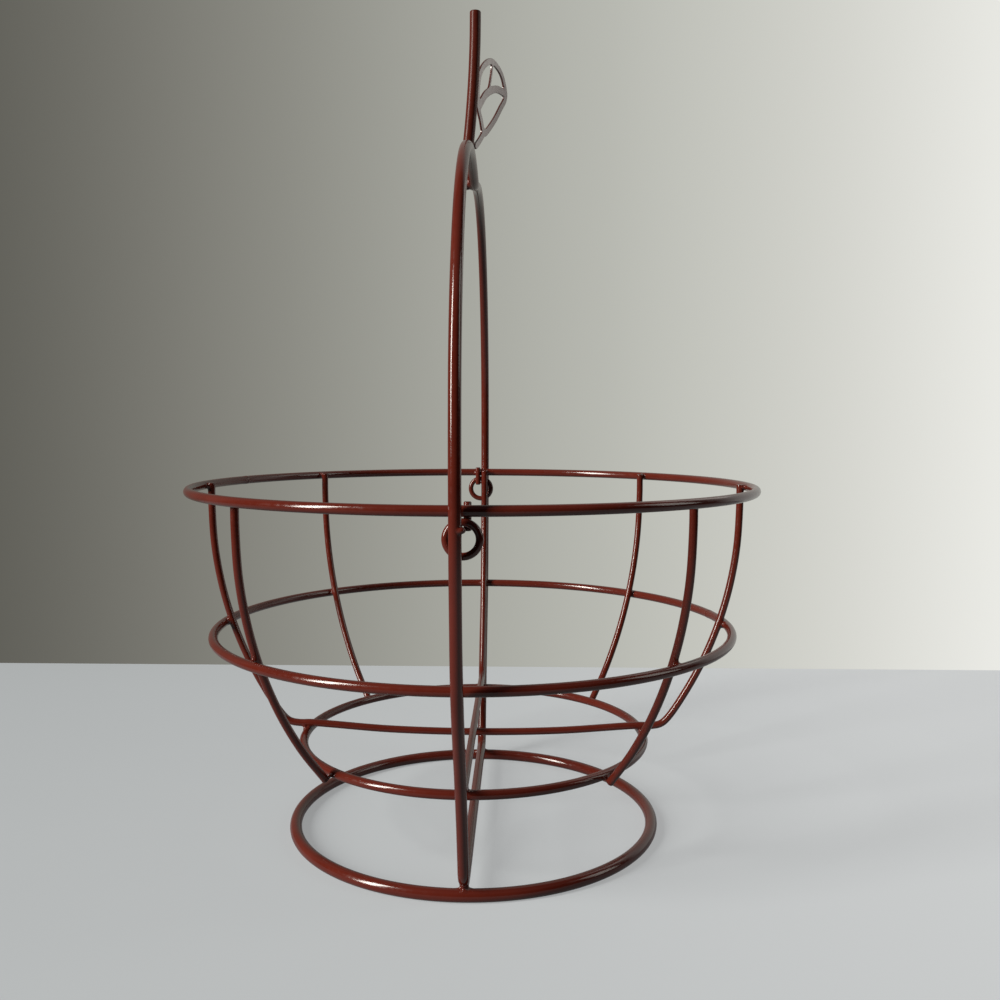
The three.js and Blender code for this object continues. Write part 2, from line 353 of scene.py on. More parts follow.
def from_ring(ring_radius, height, radius):
    def distance(p):
        out = np.hypot(p[:, 0], p[:, 1]) - ring_radius
        return np.hypot(out, p[:, 2] - height) - radius

    return distance


# The part of a line that lies near a point
WELD_SURROUNDINGS = 9
EYE_SURROUNDINGS = 5


def near(line, point, reach=WELD_SURROUNDINGS):
    keep = np.where(np.linalg.norm(line - point, axis=1) < reach)[0]
    return line[max(keep[0] - 1, 0) : keep[-1] + 2]


# Sizes of the weld beads
RIM_WELD = 1.7
MID_WELD = 1.6
LOWER_WELD = 2.0
CROSS_WELD = 1.7
LINK_WELD = 1.8
BAR_WELD = 1.7
BASE_WELD = 2.4
STEM_WELD = 2.6
PIN_WELD = 0.5
STALK_WELD = 1.6

# How a bead is made: rows round it and up it, its lumps as (count, share), and the search for its skin
WELD_AROUND = 40
WELD_UP = 22
WELD_TOP = math.radians(84)
WELD_EVEN = 0.55
WELD_CROWD = 0.45
WELD_LUMPS = [(2, 0.12), (3, 0.1), (5, 0.07)]
WELD_REACH = 4.2
WELD_MARCH = 90
WELD_SINK = 0.03
WELD_DEPTH = 0.55
WELD_LEAST = 0.05
WELD_WEAR = 0.15


# Directions out of a bead's middle, crowded at its girth, and the turn of each about the normal
def weld_aims(normal):
    n = unit(np.asarray(normal, float))
    u = unit(np.cross(axis_off(n, Z_AXIS, X_AXIS), n))
    v = np.cross(n, u)
    turns = np.arange(WELD_AROUND) / WELD_AROUND * FULL_TURN
    rises = np.linspace(-1, 1, WELD_UP)
    rises = WELD_TOP * (WELD_EVEN * rises + WELD_CROWD * rises**3)
    turn, rise = (grid.ravel() for grid in np.meshgrid(turns, rises))
    level = np.cos(turn)[:, None] * u + np.sin(turn)[:, None] * v
    return turn, np.cos(rise)[:, None] * level + np.sin(rise)[:, None] * n


# A weld bead: the hollow fillet that runs round the place where two wires meet
def weld(centre, normal, first, second, size, depth=WELD_DEPTH):
    turn, aim = weld_aims(normal)
    lump = np.ones(len(turn))
    for (count, share), phase in zip(WELD_LUMPS, rng.uniform(0, FULL_TURN, len(WELD_LUMPS))):
        lump += share * np.cos(count * turn + phase)
    steps = np.linspace(0, WELD_REACH, WELD_MARCH)
    points = (centre + aim[:, None, :] * steps[None, :, None]).reshape(-1, 3)
    a = first(points).reshape(len(aim), -1)
    b = second(points).reshape(len(aim), -1)
    skin = softly_joined(a, b, (size * lump)[:, None]) + WELD_SINK
    stop = (skin > 0) | (np.minimum(a, b) < -depth)
    stop[:, 0] = False
    stop[:, -1] = True
    hit = stop.argmax(1)
    rows = np.arange(len(aim))
    last, now = skin[rows, hit - 1], skin[rows, hit]
    share = np.where(now > 0, np.clip(-last / np.where(now > last, now - last, 1), 0, 1), 1)
    far = steps[hit - 1] + share * (steps[hit] - steps[hit - 1])
    verts = centre + aim * np.maximum(far, WELD_LEAST)[:, None]
    return verts, tube_faces(WELD_UP, WELD_AROUND), np.full(len(verts), WELD_WEAR)


# Lines of the wires
def rib_path(last_angle):
    arc = [rib_point(last_angle * i / RIB_POINTS) for i in range(RIB_POINTS + 1)]
    return [(rib_top_radius, RIM_HEIGHT + RIB_RISE), *arc]


def short_rib_line():
    return line_through([(x, 0, z) for x, z in rib_path(rib_foot_angle)])


def crossing_line(dip):
    corner, _ = rib_point(rib_angle_at(cross_height))
    start = rib_point(rib_angle_at(cross_height) - CROSS_BEND / rib_arc_radius)
    end = (corner - CROSS_BEND, cross_height)
    middle = ((start[0] + 2 * corner + end[0]) / 4, (start[1] + 2 * cross_height + end[1]) / 4)
    half = [
        *rib_path(rib_angle_at(start[1])),
        middle,
        end,
        (LOWER_RADIUS - RING, cross_height),
        (LOWER_RADIUS / 2, cross_height - dip * DIP_SHARE),
    ]
    other = [(-x, z) for x, z in half][::-1]
    return line_through([(x, 0, z) for x, z in [*half, (0, cross_height - dip), *other]])


# The two ribs of a crossing wire, without its middle point
def ribs_of(line):
    middle = len(line) // 2
    return [line[:middle], line[middle + 1 :]]


def apple_half():
    foot = [(BASE_RADIUS + out, apple_bar_height + up) for out, up in APPLE_FOOT]
    foot_radius, foot_height = foot[-1]
    mid_side = mid_radius + RING + MID_CLEARANCE + APPLE
    side = [
        (
            foot_radius + (mid_side - foot_radius) * share - SIDE_BOW,
            foot_height + (MID_HEIGHT - foot_height) * share,
        )
        for share in SIDE_SHARES
    ]
    belly = [
        (mid_side, MID_HEIGHT),
        (apple_widest - BELLY_DRAW, (MID_HEIGHT + RIM_HEIGHT) / 2),
        (apple_widest, RIM_HEIGHT),
    ]
    shoulder_height = RIM_HEIGHT + APPLE_STRAIGHT
    shoulder = []
    for i in range(SHOULDER_POINTS + 1):
        angle = i / SHOULDER_POINTS * math.pi / 2
        out = LOBE_REACH + (apple_widest - LOBE_REACH) * math.cos(angle)
        shoulder.append((out, shoulder_height + (APPLE_TOP - shoulder_height) * math.sin(angle)))
    cleft = [(LOBE_REACH * out, cleft_height + CLEFT_DEPTH * up) for out, up in CLEFT_CURVE]
    return [*foot, *side, *belly, *shoulder, *cleft]


def apple_line():
    half = apple_half()
    front = [(0, -y, z) for y, z in half]
    back = [(0, y, z) for y, z in half][::-1]
    points = [(0, 0, apple_bar_height), *front, (0, 0, cleft_height), *back]
    return line_through(points, closed=True, steps=APPLE_STEPS)


def stem_point(share):
    lean = STEM_LEAN * (1 - (1 - share) ** 2)
    return np.array([stem_foot + lean, 0, stem_foot_height + STEM_LENGTH * share])


def stem_line():
    return line_through([stem_point(i / STEM_POINTS) for i in range(STEM_POINTS + 1)], steps=STEM_STEPS)


# Lines of the front eye: its upright bar, the short link between bar and eye, and the eye itself
def bar_line():
    inside = bar_reach - RIM_RADIUS
    heights = np.linspace(RIM_HEIGHT - BAR_DROP, RIM_HEIGHT + BAR_RISE, BAR_STEPS)
    return np.stack([np.full(BAR_STEPS, bar_offset), np.full(BAR_STEPS, inside), heights], 1)


def link_line():
    inward = np.linspace(-RIM_RADIUS, bar_reach - RIM_RADIUS, LINK_STEPS)
    height = eye_height + eye_rise
    return np.stack([np.full(LINK_STEPS, bar_offset), inward, np.full(LINK_STEPS, height)], 1)


def eye_line():
    angles = np.linspace(0, FULL_TURN, EYE_STEPS, endpoint=False)
    across = eye_offset + EYE_RADIUS * np.cos(angles)
    return np.stack([across, np.full(EYE_STEPS, -RIM_RADIUS), eye_height + EYE_RADIUS * np.sin(angles)], 1)


def front_pin_line():
    inward = -np.linspace(pin_outer + GAP, pin_inner, PIN_STEPS)
    return np.stack([np.zeros(PIN_STEPS), inward, np.full(PIN_STEPS, pivot_height)], 1)


# Parts that the materials are made of
def new_material(name):
    material = bpy.data.materials.new(name)
    material.use_nodes = True
    tree = material.node_tree
    return material, tree, tree.nodes["Principled BSDF"]


def noise(tree, place, **inputs):
    made = tree.nodes.new("ShaderNodeTexNoise")
    for key, value in inputs.items():
        made.inputs[key].default_value = value
    tree.links.new(place, made.inputs["Vector"])
    return made.outputs["Fac"]


# A value that runs from first to last while another runs from start to stop
def between(tree, value, start, stop, first, last):
    made = tree.nodes.new("ShaderNodeMapRange")
    limits = {"From Min": start, "From Max": stop, "To Min": first, "To Max": last}
    for key, number in limits.items():
        made.inputs[key].default_value = number
    tree.links.new(value, made.inputs["Value"])
    return made.outputs["Result"]


def combined(tree, kind, first, second):
    made = tree.nodes.new("ShaderNodeMath")
    made.operation = kind
    tree.links.new(first, made.inputs[0])
    tree.links.new(second, made.inputs[1])
    return made.outputs[0]


# A mix of two colours, of which the first may come from another node
def mixed(tree, factor, first, second):
    made = tree.nodes.new("ShaderNodeMix")
    made.data_type = "RGBA"
    tree.links.new(factor, made.inputs["Factor"])
    if isinstance(first, tuple):
        made.inputs["A"].default_value = (*first, 1)
    else:
        tree.links.new(first, made.inputs["A"])
    made.inputs["B"].default_value = (*second, 1)
    return made.outputs["Result"]


def ramp(tree, value, stops, interpolation="LINEAR"):
    made = tree.nodes.new("ShaderNodeValToRGB")
    made.color_ramp.interpolation = interpolation
    elements = made.color_ramp.elements
    while len(elements) < len(stops):
        elements.new(0.5)
    for element, (position, colour) in zip(elements, stops):
        element.position = position
        element.color = (*colour, 1)
    tree.links.new(value, made.inputs["Fac"])
    return made.outputs["Color"]


# Paint: cloudy in tone, patchy where it is worn thin, with a fine uneven skin
RED = (0.132, 0.0195, 0.0113)
RED_DARK = (0.108, 0.0152, 0.0088)
# The stem's reds are darker copies of the paint's reds: painted shade
STEM_SHADED_RED = (0.108, 0.0175, 0.0105)
STEM_SHADED_DARK = (0.09, 0.014, 0.0085)
THIN_PAINT = (0.03, 0.014, 0.012)
DARK_STOP = 0.3
BASE_STOP = 0.68
NOISE_LOW = 0.3
NOISE_HIGH = 0.7
SMOOTHER = 0.05
ROUGHER = 0.08
PEEL_DEPTH = 0.00006


def paint(name, base, dark, roughness, peel, index=1.5, gloss=0.5):
    material, tree, shader = new_material(name)
    shader.inputs["IOR"].default_value = index
    shader.inputs["Specular IOR Level"].default_value = gloss
    place = tree.nodes.new("ShaderNodeTexCoord").outputs["Object"]
    cloud = noise(tree, place, Scale=70.0, Detail=4.0, Roughness=0.6)
    fine = noise(tree, place, Scale=620.0, Detail=3.0, Roughness=0.55)
    skin = noise(tree, place, Scale=1500.0, Detail=1.0)

    tone = ramp(tree, cloud, [(DARK_STOP, dark), (BASE_STOP, base)])
    worn = tree.nodes.new("ShaderNodeAttribute")
    worn.attribute_name = "wear"
    patchy = combined(tree, "MULTIPLY", worn.outputs["Fac"], fine)
    tree.links.new(mixed(tree, patchy, tone, THIN_PAINT), shader.inputs["Base Color"])

    spread = between(tree, fine, NOISE_LOW, NOISE_HIGH, roughness - SMOOTHER, roughness + ROUGHER)
    tree.links.new(spread, shader.inputs["Roughness"])

    bump = tree.nodes.new("ShaderNodeBump")
    bump.inputs["Strength"].default_value = peel
    bump.inputs["Distance"].default_value = PEEL_DEPTH
    tree.links.new(skin, bump.inputs["Height"])
    tree.links.new(bump.outputs["Normal"], shader.inputs["Normal"])
    return material


wire_paint = paint("red_wire_paint", RED, RED_DARK, roughness=0.14, peel=0.05)
weld_paint = paint("red_weld_paint", RED, RED_DARK, roughness=0.2, peel=0.2)
# The stem's paint carries painted shade in its darker reds, and is less glossy
shaded_stem_paint = paint("red_stem_paint", STEM_SHADED_RED, STEM_SHADED_DARK, roughness=0.3, peel=0.06, gloss=0.15)
leaf_paint = paint("red_leaf_paint", RED, RED_DARK, roughness=0.14, peel=0.08, index=1.9)


# A shown piece made of one or more shells, riding on a body
def piece(name, shells, body, material=wire_paint, node=None):
    verts, faces, wear, base = [], [], [], 0
    for shell_verts, shell_faces, shell_wear in shells:
        verts.append(shell_verts)
        wear.append(shell_wear)
        faces += [tuple(i + base for i in face) for face in shell_faces]
        base += len(shell_verts)
    mesh = bpy.data.meshes.new(name)
    mesh.from_pydata((np.vstack(verts) * MM).tolist(), [], faces)
    mesh.polygons.foreach_set("use_smooth", [True] * len(mesh.polygons))
    mesh.attributes.new("wear", "FLOAT", "POINT").data.foreach_set("value", np.concatenate(wear))
    mesh.materials.append(material)
    made = bpy.data.objects.new(name, mesh)
    bpy.context.scene.collection.objects.link(made)
    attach(made, body)
    if node:
        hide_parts(node)
    return made


# Bowl rings and ribs
BOWL_RINGS = {
    "rim": (RIM_RADIUS, RIM_HEIGHT, RIM_SEAM, RIM_WELD),
    "mid": (mid_radius, MID_HEIGHT, MID_SEAM, MID_WELD),
    "lower": (LOWER_RADIUS, LOWER_HEIGHT, LOWER_SEAM, LOWER_WELD),
}
for name, (radius, height, seam, _) in BOWL_RINGS.items():
    piece(f"{name}_wire", [ring_wire(radius, height, RING, seam)], "bowl", node=f"{name}_ring")

left_right = crossing_line(cross_dip)
front_back = turned(crossing_line(0), math.pi / 2)
piece("left_right_wire", [wire(left_right, RIB)], "bowl", node="rib_left_right")
piece("front_back_wire", [wire(front_back, RIB)], "bowl", node="rib_front_back")
all_ribs = ribs_of(left_right) + ribs_of(front_back)
for i, place in enumerate(["back_right", "back_left", "front_left", "front_right"]):
    line = turned(short_rib_line(), math.pi / 4 + i * math.pi / 2)
    all_ribs.append(line)
    piece(place + "_wire", [wire(line, RIB)], "bowl", node="rib_" + place)


# The point of a line that is nearest to a ring's wire, and the way from there to the ring's line
def meeting(line, ring_radius, height):
    around = np.stack([line[:, 0], line[:, 1], np.zeros(len(line))], 1)
    on_ring = unit(around) * ring_radius + np.array([0, 0, height])
    best = np.linalg.norm(on_ring - line, axis=1).argmin()
    return line[best], unit(on_ring[best] - line[best])


# The bead where a thinner wire meets a ring of the bowl
def ring_weld(line, line_radius, ring_radius, height, size):
    point, way = meeting(line, ring_radius, height)
    skin = from_ring(ring_radius, height, RING)
    gap = skin(point[None])[0] - line_radius
    centre = point + way * (line_radius + gap / 2)
    return weld(centre, way, from_line(near(line, point), line_radius), skin, size)


# Welds of the bowl
for name, (radius, height, _, size) in BOWL_RINGS.items():
    beads = [ring_weld(line, RIB, radius, height, size) for line in all_ribs]
    piece(f"{name}_welds", beads, "bowl", weld_paint)

cross_middle = np.array([0, 0, cross_height - cross_dip / 2])
cross_weld = weld(
    cross_middle,
    Z_AXIS,
    from_line(near(left_right, cross_middle), RIB),
    from_line(near(front_back, cross_middle), RIB),
    CROSS_WELD,
)
piece("cross_weld", [cross_weld], "bowl", weld_paint)

# Hanging eyes: the same wires at the front and, turned half round, at the back
bar, link, eye = bar_line(), link_line(), eye_line()
eye_loop = np.vstack([eye, eye[:1]])
link_middle = link[len(link) // 2]
bar_skin = from_line(bar, EYE)
eye_skin = from_line(near(eye_loop, link[0], EYE_SURROUNDINGS), EYE)
link_skin = from_line(link, EYE)


def eye_and_link_skin(p):
    return np.minimum(eye_skin(p), link_skin(p))


eye_shells = [wire(bar, EYE), wire(link, EYE), wire(eye, EYE, closed=True)]
eye_welds = [
    weld(link_middle, Y_AXIS, eye_and_link_skin, bar_skin, LINK_WELD),
    ring_weld(bar, EYE, RIM_RADIUS, RIM_HEIGHT, BAR_WELD),
]
for side, angle in FRONT_AND_BACK:
    shells = [turned_shell(shell, angle) for shell in eye_shells]
    piece(f"{side}_eye_wire", shells, "bowl", node=f"hanging_eye_{side}")
    beads = [turned_shell(shell, angle) for shell in eye_welds]
    piece(f"{side}_eye_welds", beads, "bowl", weld_paint)

# Stand
apple = apple_line()
apple_loop = np.vstack([apple, apple[:1]])
stem = stem_line()
base_skin = from_ring(BASE_RADIUS, BASE, BASE)
piece("base_wire", [ring_wire(BASE_RADIUS, BASE, BASE, BASE_SEAM, collar=0)], "frame", node="base_ring")
piece("apple_wire", [wire(apple, APPLE, closed=True)], "frame", node="apple_frame")
piece("stem_rod", [wire(stem, STEM)], "frame", shaded_stem_paint, "stem")

base_welds = []
for side in (-1, 1):
    point = np.array([0, side * BASE_RADIUS, 2 * BASE + GAP / 2])
    foot_skin = from_line(near(apple_loop, point), APPLE)
    base_welds.append(weld(point, Z_AXIS, base_skin, foot_skin, BASE_WELD))
piece("base_welds", base_welds, "frame", weld_paint)

cleft_point = np.array([(-APPLE - GAP / 2), 0, cleft_height])
apple_top = apple[len(apple) // 4 : 3 * len(apple) // 4]
stem_weld = weld(
    cleft_point,
    X_AXIS,
    from_line(near(stem, cleft_point), STEM),
    from_line(near(apple_top, cleft_point), APPLE),
    STEM_WELD,
)
piece("stem_weld", [stem_weld], "frame", weld_paint)

# Hinge pins, each held to the apple wire by a lump of weld that shows beside the wire
PIN_LUMP_ASIDE = 1.75
PIN_LUMP_OUT = 0.4
PIN_LUMP_RISE = 1.5
PIN_LUMP_HALF_SIZE = np.array([1.4, 1.5, 1.05])
pin_lump = np.array([PIN_LUMP_ASIDE, -apple_widest - PIN_LUMP_OUT, pivot_height + PIN_LUMP_RISE])
pin_line = front_pin_line()
apple_front = apple[: len(apple) // 2]
pin_skin = from_line(pin_line, PIN)
apple_skin = from_line(near(apple_front, pin_lump), APPLE)


def lump_skin(p):
    out = np.linalg.norm((p - pin_lump) / PIN_LUMP_HALF_SIZE, axis=1)
    return (out - 1) * PIN_LUMP_HALF_SIZE.min()


def pin_and_apple_skin(p):
    return np.minimum(pin_skin(p), apple_skin(p))


pin_shell = wire(pin_line, PIN)
pin_weld = weld(pin_lump, Y_AXIS, lump_skin, pin_and_apple_skin, PIN_WELD, depth=WELD_REACH)
for side, angle in FRONT_AND_BACK:
    piece(f"{side}_pin_rod", [turned_shell(pin_shell, angle)], "frame", node=f"hinge_pin_{side}")
    piece(f"{side}_pin_weld", [turned_shell(pin_weld, angle)], "frame", weld_paint)

# Leaf: one stamped sheet, outlined round its strips
LEAF_STEPS = 8
LEAF_FILLET = 0.9
LEAF_GRID = 0.2
LEAF_GRID_ACROSS = (-2, 31)
LEAF_GRID_UP = (0, 42)
LEAF_SMOOTHINGS = 3
LEAF_SPACING = 0.45
LEAST_OUTLINE = 8
LEAF_BEVEL = 0.16
LEAF_BEVEL_STEPS = 2
LEAF_MERGE = 0.002
LEAF_FACE_MARGIN = 0.01
LEAF_EDGE_DARKENING = 0.8
FLAT_FACE = 0.99


def flat_distance(points, closed, width):
    line = line_through([(x, y, 0) for x, y in points], closed, LEAF_STEPS)
    if closed:
        line = np.vstack([line, line[:1]])
    return from_line(line, width / 2, cut=False)


def leaf_field(p):
    field = flat_distance(LEAF_EDGE, True, LEAF_BAND)(p)
    strips = [(LEAF_ARCH, LEAF_ARCH_BAND), (LEAF_RIB, LEAF_VEIN), (LEAF_STALK, LEAF_BAND)]
    for points, width in strips:
        field = softly_joined(field, flat_distance(points, False, width)(p), LEAF_FILLET)
    return field


# Closed outlines where a field on a grid changes sign
def outlines(field, xs, ys):
    links = {}

    def edge(i, j, k, m):
        a, b = field[i, j], field[k, m]
        share = a / (a - b)
        return (xs[i] + share * (xs[k] - xs[i]), ys[j] + share * (ys[m] - ys[j]))

    inside = field < 0
    for i in range(len(xs) - 1):
        for j in range(len(ys) - 1):
            corners = [(i, j), (i + 1, j), (i + 1, j + 1), (i, j + 1)]
            flags = [inside[c] for c in corners]
            if all(flags) or not any(flags):
                continue
            starts, ends = [], []
            for a, b in zip(range(4), (1, 2, 3, 0)):
                if flags[a] != flags[b]:
                    low, high = sorted((corners[a], corners[b]))
                    (starts if flags[a] else ends).append(((low, high), edge(*low, *high)))
            for (start, point), (end, _) in zip(starts, ends):
                links[start] = (end, point)
    loops = []
    while links:
        key = next(iter(links))
        loop = []
        while key in links:
            key, point = links.pop(key)
            loop.append(point)
        loops.append(np.array(loop))
    return loops


# Evens out the steps of an outline
def evened(loop):
    for _ in range(LEAF_SMOOTHINGS):
        loop = (np.roll(loop, 1, 0) + 2 * loop + np.roll(loop, -1, 0)) / 4
    ring = np.vstack([loop, loop[:1]])
    run = np.concatenate([[0], np.cumsum(np.linalg.norm(np.diff(ring, axis=0), axis=1))])
    count = max(int(run[-1] / LEAF_SPACING), LEAST_OUTLINE)
    at = np.linspace(0, run[-1], count, endpoint=False)
    return np.stack([np.interp(at, run, ring[:, 0]), np.interp(at, run, ring[:, 1])], 1)


def leaf_outlines():
    xs = np.arange(*LEAF_GRID_ACROSS, LEAF_GRID)
    ys = np.arange(*LEAF_GRID_UP, LEAF_GRID)
    grid = np.stack(np.meshgrid(xs, ys, indexing="ij"), -1).reshape(-1, 2)
    field = leaf_field(np.column_stack([grid, np.zeros(len(grid))])).reshape(len(xs), len(ys))
    return [evened(loop) for loop in outlines(field, xs, ys)]


# The flat sheet inside the outlines, closed all round, with its edges broken
def leaf_mesh():
    curve = bpy.data.curves.new("leaf_outline", "CURVE")
    curve.dimensions = "2D"
    curve.fill_mode = "BOTH"
    curve.extrude = (LEAF_SHEET / 2 - LEAF_BEVEL) * MM
    curve.bevel_depth = LEAF_BEVEL * MM
    curve.bevel_resolution = LEAF_BEVEL_STEPS
    curve.offset = -LEAF_BEVEL * MM
    for loop in leaf_outlines():
        spline = curve.splines.new("POLY")
        spline.points.add(len(loop) - 1)
        spline.use_cyclic_u = True
        for point, (x, y) in zip(spline.points, loop):
            point.co = (x * MM, y * MM, 0, 1)
    drawn = bpy.data.objects.new("leaf_outline", curve)
    bpy.context.scene.collection.objects.link(drawn)
    bpy.context.view_layer.update()
    mesh = bpy.data.meshes.new_from_object(drawn.evaluated_get(bpy.context.evaluated_depsgraph_get()))
    bpy.data.objects.remove(drawn)
    bpy.data.curves.remove(curve)
    joined = bmesh.new()
    joined.from_mesh(mesh)
    bmesh.ops.remove_doubles(joined, verts=joined.verts, dist=LEAF_MERGE * MM)
    joined.to_mesh(mesh)
    joined.free()
    return mesh


seat = stem_point((LEAF_RISE + LEAF_STALK[0][1]) / STEM_LENGTH)
leaf_across = np.array([math.sin(LEAF_TURN), math.cos(LEAF_TURN), 0])
leaf_normal = np.array([math.cos(LEAF_TURN), -math.sin(LEAF_TURN), 0])
leaf_axes = np.stack([leaf_across, Z_AXIS, leaf_normal])
leaf_origin = np.array([seat[0] + LEAF_OFFSET, 0, stem_foot_height + LEAF_RISE])
leaf_origin = leaf_origin + leaf_across * leaf_start
sheet = leaf_mesh()
flat = np.array([v.co for v in sheet.vertices]) / MM
leaf_faces = [tuple(p.vertices) for p in sheet.polygons]
bpy.data.meshes.remove(sheet)
# The sheet's edges take a darker colour than its faces
on_edge = np.abs(flat[:, 2]) < LEAF_SHEET / 2 - LEAF_FACE_MARGIN
leaf_shell = (leaf_origin + flat @ leaf_axes, leaf_faces, np.where(on_edge, LEAF_EDGE_DARKENING, 0))
leaf = piece("leaf_sheet", [leaf_shell], "frame", leaf_paint, "leaf")
for face in leaf.data.polygons:
    face.use_smooth = abs(face.normal.dot(Vector(leaf_normal))) < FLAT_FACE

# The weld between the leaf's stalk and the stem
stalk_field = flat_distance(LEAF_STALK, False, LEAF_BAND)


def stalk_skin(p):
    drawn = (p - leaf_origin) @ leaf_axes.T
    across_and_up = drawn * np.array([1, 1, 0])
    return np.maximum(stalk_field(across_and_up), np.abs(drawn[:, 2]) - LEAF_SHEET / 2)


stalk_foot = leaf_origin + np.array([*LEAF_STALK[0], 0]) @ leaf_axes
beside_foot = stem[np.linalg.norm(stem - stalk_foot, axis=1).argmin()]
toward_stem = unit(beside_foot - stalk_foot)
stalk_seat = beside_foot - toward_stem * (STEM + GAP / 2)
stem_skin = from_line(near(stem, stalk_seat), STEM)
leaf_weld = weld(stalk_seat, toward_stem, stalk_skin, stem_skin, STALK_WELD)
piece("leaf_weld", [leaf_weld], "frame", weld_paint)

# Floor and walls, in metres from here on
WALL = 0.245
STAGE_REACH = 4.0
BLACK = (0, 0, 0)
FLOOR_COLOUR = (0.32, 0.345, 0.37)
DIM_BOUNCE = (0.08, 0.08, 0.08)
FLOOR_SHARE = 0.45
WALL_SHARE = 0.75
FLOOR_REACH = 0.4
WALL_REACH = 0.65
FAR_START = 0.7
FAR_END = 1.5
FAR_COLOUR = (0.02, 0.02, 0.02)
FAR_GLOW = (0.52, 0.53, 0.52)
SHADE_LEFT = -0.35
SHADE_RIGHT = 0.65
# Glow of the wall from left to right: painted light, with painted shade on the left
WALL_PAINTED_LIGHT = [
    (0, (0.08, 0.078, 0.066)),
    (0.22, (0.25, 0.246, 0.216)),
    (0.42, (0.49, 0.5, 0.455)),
    (0.56, (0.63, 0.63, 0.585)),
    (0.7, (0.9, 0.9, 0.86)),
]
# Glow of the floor from left to right: painted light, with painted shade on the left
FLOOR_PAINTED_LIGHT = [
    (0, (0.19, 0.198, 0.2)),
    (0.35, (0.29, 0.298, 0.3)),
    (0.6, (0.46, 0.465, 0.465)),
]
ROOM_SHADES = [(0, (0.5, 0.5, 0.47)), (1, (0.6, 0.6, 0.57))]


# Stage surfaces glow for the camera and, within a reach of the object, partly in reflections too: painted
# light, with painted shade on the left. They send little light back and even out to one pale tone far away
def stage_material(name, colour, shades, share, reach):
    material, tree, shader = new_material(name)
    material.cycles.emission_sampling = "NONE"
    shader.inputs["Roughness"].default_value = 1
    shader.inputs["Specular IOR Level"].default_value = 0
    place = tree.nodes.new("ShaderNodeTexCoord").outputs["Object"]
    length = tree.nodes.new("ShaderNodeVectorMath")
    length.operation = "LENGTH"
    tree.links.new(place, length.inputs[0])
    away = length.outputs["Value"]
    far = between(tree, away, FAR_START, FAR_END, 0, 1)

    path = tree.nodes.new("ShaderNodeLightPath").outputs
    bounced = combined(tree, "MAXIMUM", path["Is Glossy Ray"], path["Is Transmission Ray"])
    mirrored = combined(tree, "MULTIPLY", bounced, between(tree, away, reach, 2 * reach, share, 0))
    seen = combined(tree, "MAXIMUM", path["Is Camera Ray"], mirrored)
    tree.links.new(seen, shader.inputs["Emission Strength"])

    shade = mixed(tree, seen, DIM_BOUNCE, colour)
    tree.links.new(mixed(tree, far, shade, FAR_COLOUR), shader.inputs["Base Color"])
    # Painted light: the glow brightens from left to right, with painted shade on the left
    split = tree.nodes.new("ShaderNodeSeparateXYZ")
    tree.links.new(place, split.inputs["Vector"])
    across = between(tree, split.outputs["X"], SHADE_LEFT, SHADE_RIGHT, 0, 1)
    glow = mixed(tree, far, ramp(tree, across, shades, "B_SPLINE"), FAR_GLOW)
    tree.links.new(glow, shader.inputs["Emission Color"])
    return material


# Makes a wall clear where it is seen from behind
def clear_behind(material):
    nodes, links = material.node_tree.nodes, material.node_tree.links
    facing = nodes.new("ShaderNodeNewGeometry")
    clear = nodes.new("ShaderNodeBsdfTransparent")
    mix = nodes.new("ShaderNodeMixShader")
    links.new(facing.outputs["Backfacing"], mix.inputs["Fac"])
    links.new(nodes["Principled BSDF"].outputs["BSDF"], mix.inputs[1])
    links.new(clear.outputs["BSDF"], mix.inputs[2])
    links.new(mix.outputs["Shader"], nodes["Material Output"].inputs["Surface"])


def stage_plane(name, corners, material):
    mesh = bpy.data.meshes.new(name)
    mesh.from_pydata(corners, [], [(0, 1, 2, 3)])
    mesh.materials.append(material)
    made = bpy.data.objects.new(name, mesh)
    bpy.context.scene.collection.objects.link(made)


def stage_wall(name, start, end, material):
    stage_plane(name, [(*start, 0), (*end, 0), (*end, STAGE_REACH), (*start, STAGE_REACH)], material)


floor_paint_and_glow = stage_material("pale_floor", FLOOR_COLOUR, FLOOR_PAINTED_LIGHT, FLOOR_SHARE, FLOOR_REACH)
wall_glow = stage_material("glowing_wall", BLACK, WALL_PAINTED_LIGHT, WALL_SHARE, WALL_REACH)
room_paint = stage_material("pale_room", BLACK, ROOM_SHADES, WALL_SHARE, WALL_REACH)
clear_behind(wall_glow)
clear_behind(room_paint)
front_left, front_right = (-STAGE_REACH, -STAGE_REACH), (STAGE_REACH, -STAGE_REACH)
back_left, back_right = (-STAGE_REACH, STAGE_REACH), (STAGE_REACH, STAGE_REACH)
floor_corners = [(*corner, 0) for corner in (front_left, front_right, back_right, back_left)]
stage_plane("floor", floor_corners, floor_paint_and_glow)
stage_wall("wall", (-STAGE_REACH, WALL), (STAGE_REACH, WALL), wall_glow)
stage_wall("left_room", front_left, back_left, room_paint)
stage_wall("right_room", back_right, front_right, room_paint)
stage_wall("front_room", front_right, front_left, room_paint)

# Light: a window on the left, a fill on the right and a small panel that the leaf mirrors
WARM_WHITE = (1, 0.965, 0.89)
WINDOW_PLACE = (-2.4, -1.39, 1.3)
FILL_PLACE = (2.6, -0.1, 1.3)
PANEL_PLACE = (0.3, 0.205, 0.41)
BASKET_MIDDLE = (0, 0, 0.14)
LEAF_MIDDLE = (0.01, 0, 0.285)
ROOM_LIGHT = (0.9, 0.95, 1, 1)
ROOM_STRENGTH = 0.05


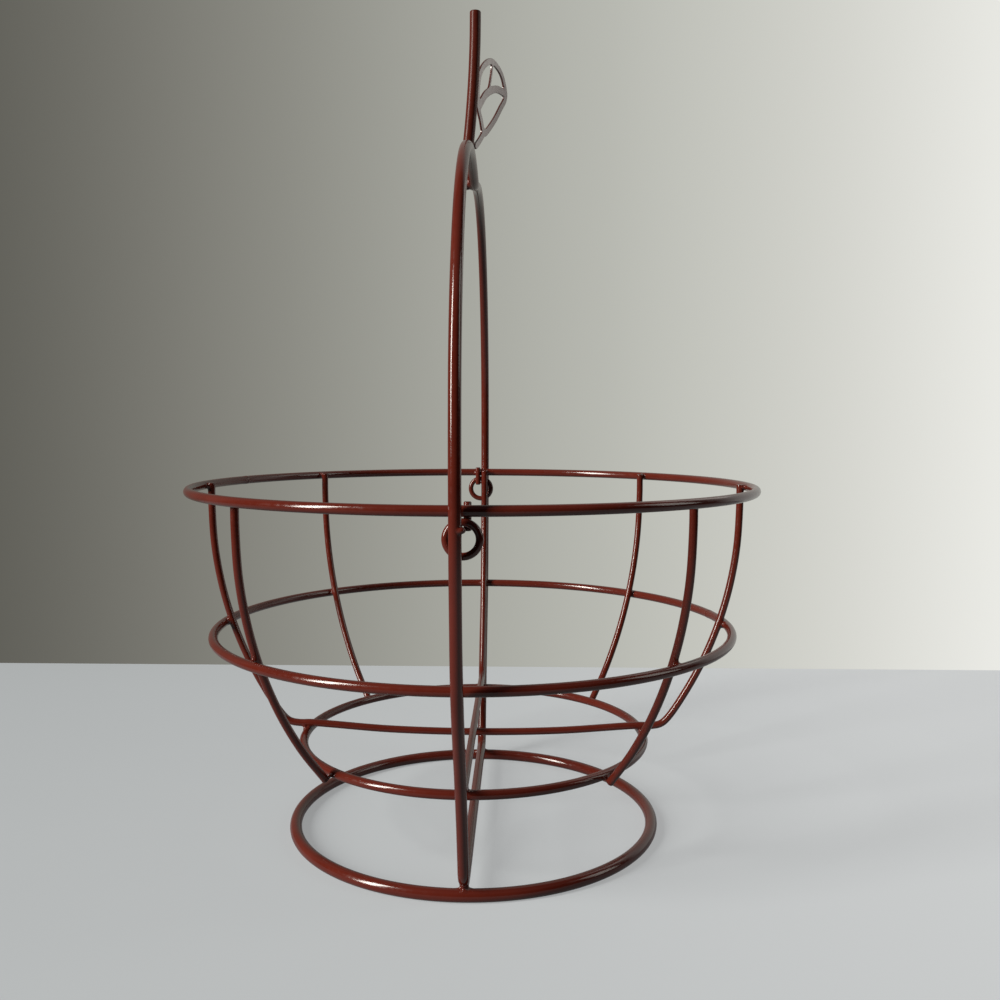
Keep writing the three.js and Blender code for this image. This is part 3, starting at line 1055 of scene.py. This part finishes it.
def softbox(name, place, target, width, height, spread, power):
    light = bpy.data.lights.new(name, "AREA")
    light.shape = "RECTANGLE"
    light.size, light.size_y = width, height
    light.energy = power
    light.color = WARM_WHITE
    light.spread = math.radians(spread)
    made = bpy.data.objects.new(name, light)
    made.location = place
    made.rotation_euler = (Vector(target) - Vector(place)).to_track_quat("-Z", "Y").to_euler()
    made.visible_camera = False
    bpy.context.scene.collection.objects.link(made)


softbox("window", WINDOW_PLACE, BASKET_MIDDLE, width=0.6, height=2.2, spread=100, power=41)
softbox("fill", FILL_PLACE, BASKET_MIDDLE, width=1.2, height=1.6, spread=180, power=14)
softbox("panel", PANEL_PLACE, LEAF_MIDDLE, width=0.16, height=0.2, spread=180, power=0.09)

world = bpy.data.worlds.new("room")
bpy.context.scene.world = world
world.use_nodes = True
room = world.node_tree.nodes["Background"]
room.inputs["Color"].default_value = ROOM_LIGHT
room.inputs["Strength"].default_value = ROOM_STRENGTH

# Camera
CAMERA_PLACE = (0.0189, -0.3854, 0.158)
CAMERA_YAW = math.radians(-1.32)
CAMERA_PITCH = math.radians(4.57)
CAMERA_ROLL = math.radians(-0.1)
CAMERA_LENS = 35.86
CAMERA_SENSOR = 36
CAMERA_NEAREST = 0.01
camera = bpy.data.objects.new("camera", bpy.data.cameras.new("camera"))
bpy.context.scene.collection.objects.link(camera)
bpy.context.scene.camera = camera
camera.data.sensor_width = CAMERA_SENSOR
camera.data.lens = CAMERA_LENS
camera.data.clip_start = CAMERA_NEAREST
ahead = Vector(
    (
        math.sin(CAMERA_YAW) * math.cos(CAMERA_PITCH),
        math.cos(CAMERA_YAW) * math.cos(CAMERA_PITCH),
        -math.sin(CAMERA_PITCH),
    )
)
right = ahead.cross(Vector((0, 0, 1))).normalized()
up = right.cross(ahead)
tilt_right = right * math.cos(CAMERA_ROLL) - up * math.sin(CAMERA_ROLL)
tilt_up = up * math.cos(CAMERA_ROLL) + right * math.sin(CAMERA_ROLL)
axes = Matrix((tilt_right, tilt_up, -ahead)).transposed()
camera.matrix_world = Matrix.Translation(CAMERA_PLACE) @ axes.to_4x4()

bpy.context.scene.view_settings.view_transform = "Standard"
